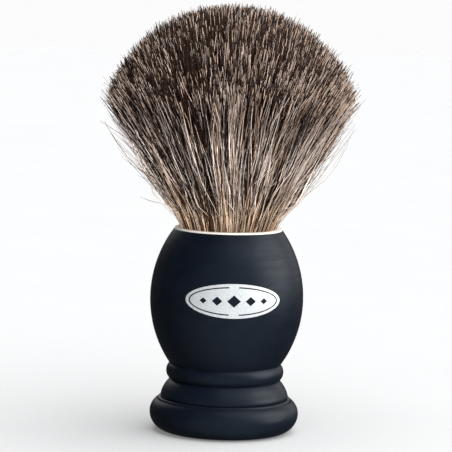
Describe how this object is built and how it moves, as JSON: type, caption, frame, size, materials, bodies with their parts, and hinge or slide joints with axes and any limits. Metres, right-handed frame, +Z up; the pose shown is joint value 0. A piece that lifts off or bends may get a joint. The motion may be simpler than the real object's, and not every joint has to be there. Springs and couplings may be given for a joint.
{
  "type": "shaving brush",
  "caption": "Shaving brush: a fan-shaped knot of badger hair glued into a turned black handle with a ball grip, a bead, an ogee and a round foot.",
  "frame": {"origin": "centre of the foot's flat underside", "axes": "+Z up along the turning axis, towards the hair; the badge faces -Y"},
  "size_m": [0.0606, 0.0606, 0.1065],
  "materials": {
    "black_lacquered_wood": "satin-matte black lacquer on turned hardwood",
    "ivory_plastic": "smooth ivory-white moulded ring",
    "badger_hair": "banded natural hair, pale at the root, dark in the middle and grey-brown at the tip",
    "potting_resin": "cured amber resin full of hair butts",
    "waxed_thread": "waxed twisted thread",
    "clear_glue": "cured epoxy",
    "silver_foil": "fine-grained silver-white foil"
  },
  "bodies": {
    "root": {"handle_body": "black_lacquered_wood", "knot_ferrule": "ivory_plastic", "hair_knot": "badger_hair", "knot_plug": "potting_resin", "binding_thread": "waxed_thread", "socket_glue": "clear_glue", "badge": "silver_foil"}
  },
  "joints": []
}
